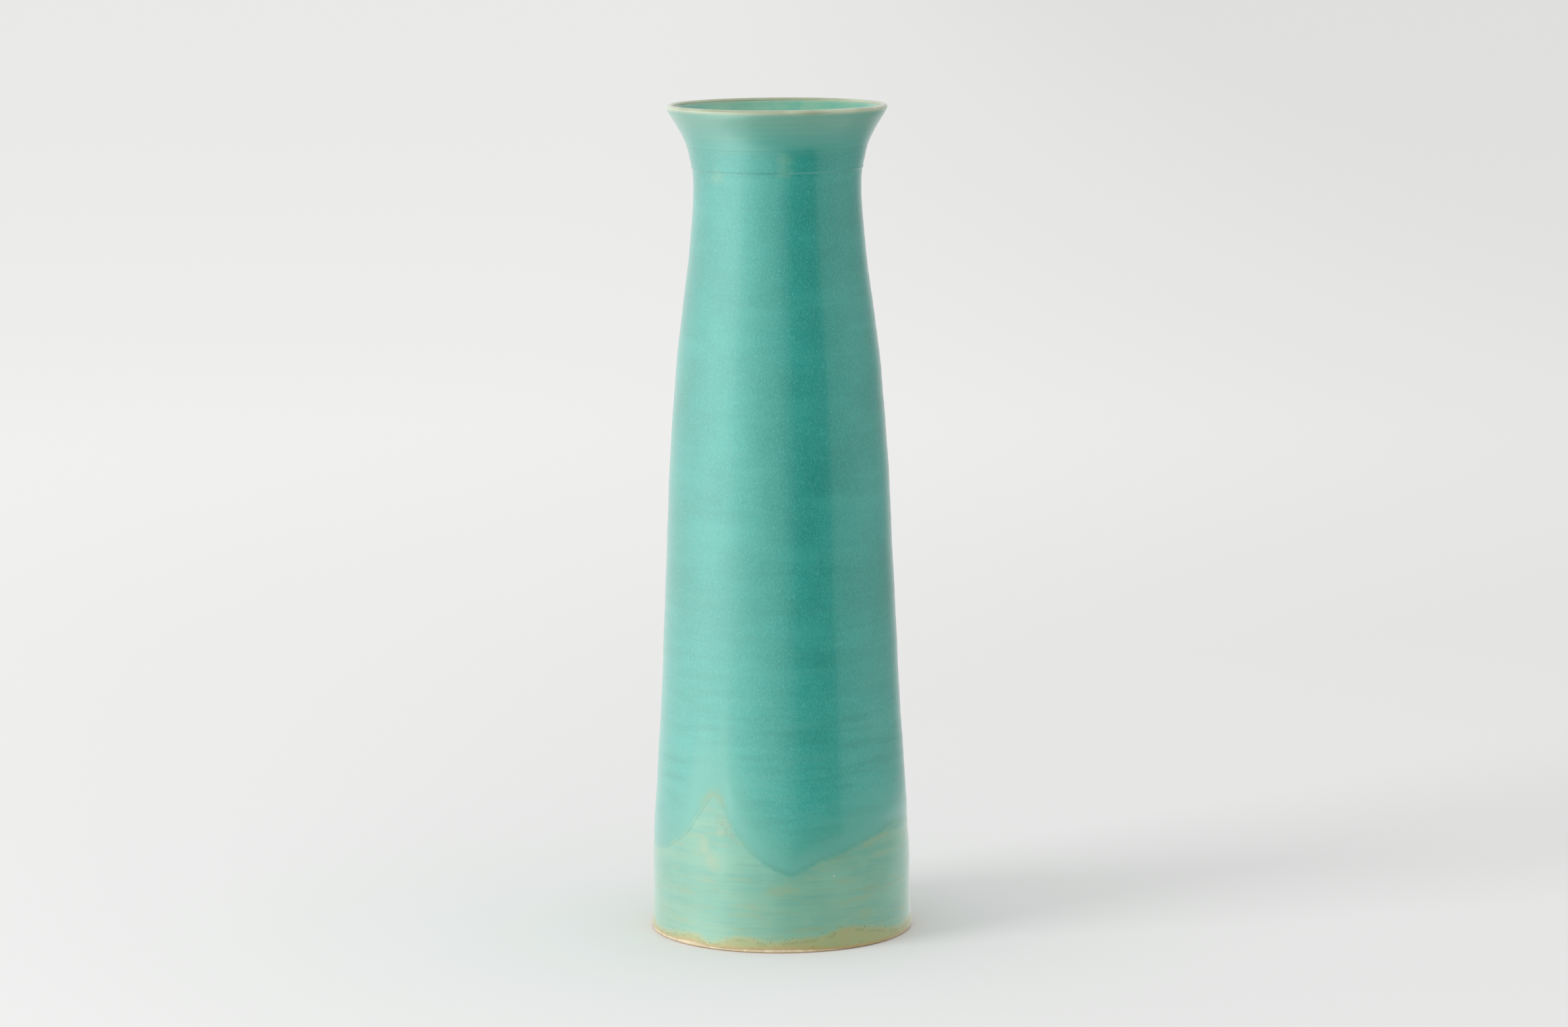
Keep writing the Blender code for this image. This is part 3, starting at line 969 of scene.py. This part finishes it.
def liningMaterial():
    values, tones = lining, tonesOf(lining)
    material, tree, shader, place = newGlaze("liningGlaze", values)
    height = heightOn(tree, place)
    colour = mixed(tree, patches(tree, place, values["patches"]), tones["deep"], tones["pale"])
    lines = levelLines(tree, place, values["lines"])
    colour = mixed(tree, spread(tree, lines, 0.46, 0.68, 0.0, values["lineShare"]), colour, tones["pale"])
    blotch = times(tree, spread(tree, height, *values["underLip"]),
                   patches(tree, place, values["yellowPatches"], 0.05, 0.35))
    colour = mixed(tree, blotch, colour, tones["yellow"])
    lip = spread(tree, height, *values["lipBreak"], 0.0, values["lipShare"])
    colour = mixed(tree, lip, colour, tones["cream"])
    feed(tree, shader.inputs["Base Color"], colour)
    orangePeel(tree, shader, place, values["peel"])
    return material


def pouredLining():
    # glaze over the floor and up the inside to the lip
    values = lining
    cover, gap, floor, heel = values["cover"], values["gap"], claySkin["floorTop"], claySkin["heel"]
    rows = rowsOf(values["rows"])
    wall = [(skinRadius(height) - wallAt(height) - cover, height) for height in rows]
    behind = [(skinRadius(height) - wallAt(height) - gap, height) for height in rows[::3]]
    lip = arcPoints(lipCentre, claySkin["lipGlazed"] - values["lipStep"], 178, 140, 5)
    lipBehind = arcPoints(lipCentre, claySkin["lipRadius"] + gap, 140, 178, 4)
    turn = arcPoints((wall[0][0] - heel + cover, floor + heel), heel - cover, -90, 0, 12)
    turnBehind = arcPoints((behind[0][0] - heel + gap, floor + heel), heel - gap, 0, -90, 12)
    outline = [(0, floor + cover), (0.02, floor + cover), (0.04, floor + cover)] + turn + wall + lip
    outline += lipBehind + behind[::-1] + turnBehind + [(0, floor + gap)]
    shell = turned(outline, values["columns"], closed=False)
    return placePiece("pouredLining", shell, liningMaterial(), "lining_green_glaze", "lining_glaze")


seaGreenCoat()
blueGreenCoat()
oliveWash()
turnedFoot()
pouredLining()

bare = clayMaterial()
for hidden in ("upper_section", "collar", "waist_slip", "neck_slip"):
    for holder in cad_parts[hidden].material_slots:
        holder.material = bare
print("clay on the hidden sections and slip rings")


# the studio

studio = {
    "floorSize": 40.0,
    "floorColour": (226, 226, 225),
    "farGlow": 0.11,             # how much the far floor is lit by itself, like a lit backdrop
    "glowReach": (0.1, 2.4),
    "rightShade": 0.075,         # less of that glow towards the right
    "shadeReach": (-0.4, 1.2),
    "world": 0.93,
}

softbox = {
    "azimuth": -62,
    "distance": 3.2,
    "height": 1.52,
    "size": (1.56, 2.25),
    "power": 54.0,
    "aim": (0, 0, 0.22),
}

tent = {                         # soft cloth round the pot that only reflections see
    "radius": 0.5,
    "foot": -0.45,               # it hangs below the floor, which the gloss does not see
    "height": 0.62,
    "columns": 110,
    "lowShare": 0.5,             # its brightness well below the floor
    "lowReach": (-0.25, -0.05),
    "paper": 1.0,                # the least it shows under floor level
    "paperReach": (-0.03, 0.05),
    "brightest": 5.0,
    "stops": [                   # degrees from the front towards +X, share of the brightest
        (-160, 0.20), (-130, 0.27), (-110, 0.40), (-92, 0.60), (-76, 0.84), (-52, 0.86), (-43, 0.66),
        (-30, 0.50), (-16, 0.37), (0, 0.27), (9, 0.15), (17, 0.0), (51, 0.0), (54, 0.17), (90, 0.17),
        (112, 0.11), (132, 0.08), (150, 0.15), (170, 0.18),
    ],
}

view = {"place": (0.0025, -2.631, 0.6093), "down": 8.25, "roll": -0.36, "lens": 112.4, "sensor": 36}


def placeStage(name, shell, material):
    mesh = bpy.data.meshes.new(name)
    shell.to_mesh(mesh)
    shell.free()
    mesh.materials.append(material)
    mesh.shade_smooth()
    sheet = bpy.data.objects.new(name, mesh)
    scene.collection.objects.link(sheet)
    return sheet


def layFloor():
    sheet = bmesh.new()
    bmesh.ops.create_grid(sheet, x_segments=8, y_segments=8, size=studio["floorSize"] / 2)
    material, tree, shader, place = newFinish("palePaper", 0.9)
    shader.inputs["Base Color"].default_value = linear(*studio["floorColour"])
    shader.inputs["Specular IOR Level"].default_value = 0.0
    away = put(tree, "VectorMath", {0: place}, operation="LENGTH").outputs["Value"]
    across = put(tree, "SeparateXYZ", {0: place}).outputs["X"]
    glow = spread(tree, away, *studio["glowReach"], 0.0, studio["farGlow"])
    shade = spread(tree, across, *studio["shadeReach"], 0.0, studio["rightShade"])
    glow = calc(tree, "MAXIMUM", calc(tree, "SUBTRACT", glow, shade), 0.0)
    feed(tree, shader.inputs["Emission Strength"], glow)
    shader.inputs["Emission Color"].default_value = (1, 1, 1, 1)
    floor = placeStage("floor", sheet, material)
    floor.visible_glossy = False


def tentCloth(first, last):
    # glows more or less round the pot
    material = bpy.data.materials.new("tentCloth")
    material.use_nodes = True
    tree = material.node_tree
    tree.nodes.remove(tree.nodes["Principled BSDF"])
    place = put(tree, "SeparateXYZ", {0: put(tree, "TexCoord").outputs["Object"]}).outputs
    azimuth = calc(tree, "ARCTAN2", place["X"], times(tree, place["Y"], -1.0))
    share = spread(tree, azimuth, math.radians(first), math.radians(last), smooth=False)
    ramp = put(tree, "ValToRGB", {"Fac": share})
    stops = ramp.color_ramp.elements
    while len(stops) < len(tent["stops"]):
        stops.new(0.5)
    for stop, (angle, level) in zip(stops, tent["stops"]):
        stop.position = (angle - first) / (last - first)
        stop.color = (level, level, level, 1)
    low = spread(tree, place["Z"], *tent["lowReach"], tent["lowShare"], 1.0)
    level = put(tree, "SeparateColor", {0: ramp.outputs["Color"]}).outputs["Red"]
    level = times(tree, times(tree, level, low), tent["brightest"])
    paper = spread(tree, place["Z"], *tent["paperReach"], tent["paper"], 0.0)
    light = put(tree, "Emission", {"Strength": calc(tree, "MAXIMUM", level, paper)})
    feed(tree, tree.nodes["Material Output"].inputs["Surface"], light.outputs[0])
    return material


def raiseTent():
    first, last = tent["stops"][0][0], tent["stops"][-1][0]
    turn = math.radians(first)
    x, y = math.sin(turn) * tent["radius"], -math.cos(turn) * tent["radius"]
    sheet = bmesh.new()
    verts = [sheet.verts.new((x, y, height)) for height in (tent["foot"], tent["height"])]
    edge = sheet.edges.new(verts)
    bmesh.ops.spin(sheet, geom=verts + [edge], cent=(0, 0, 0), axis=(0, 0, 1),
                   angle=math.radians(last - first), steps=tent["columns"])
    cloth = placeStage("tent", sheet, tentCloth(first, last))
    cloth.visible_camera = False
    cloth.visible_diffuse = False
    cloth.visible_transmission = False
    cloth.visible_shadow = False
    cloth.visible_volume_scatter = False


def hangSoftbox():
    data = bpy.data.lights.new("softbox", "AREA")
    data.shape = "RECTANGLE"
    data.size, data.size_y = softbox["size"]
    data.energy = softbox["power"]
    lamp = bpy.data.objects.new("softbox", data)
    turn, distance = math.radians(softbox["azimuth"]), softbox["distance"]
    lamp.location = (math.sin(turn) * distance, -math.cos(turn) * distance, softbox["height"])
    aim = Vector(softbox["aim"]) - lamp.location
    lamp.rotation_euler = aim.to_track_quat("-Z", "Y").to_euler()
    lamp.visible_camera = False
    lamp.visible_glossy = False      # the tent shows in the gloss instead
    scene.collection.objects.link(lamp)


def lightRoom():
    world = bpy.data.worlds.new("paleRoom")
    world.use_nodes = True
    sky = world.node_tree.nodes["Background"].inputs
    sky["Color"].default_value = (1, 1, 1, 1)
    sky["Strength"].default_value = studio["world"]
    scene.world = world
    scene.view_settings.view_transform = "Standard"
    hangSoftbox()
    raiseTent()


def setCamera():
    data = bpy.data.cameras.new("camera")
    data.lens = view["lens"]
    data.sensor_width = view["sensor"]
    camera = bpy.data.objects.new("camera", data)
    camera.location = view["place"]
    level = Euler((math.radians(90 - view["down"]), 0, 0)).to_quaternion()
    roll = Quaternion((0, 0, 1), math.radians(view["roll"]))
    camera.rotation_mode = "QUATERNION"
    camera.rotation_quaternion = level @ roll
    scene.collection.objects.link(camera)
    scene.camera = camera


layFloor()
lightRoom()
setCamera()
print("studio: floor, softbox, tent and camera")
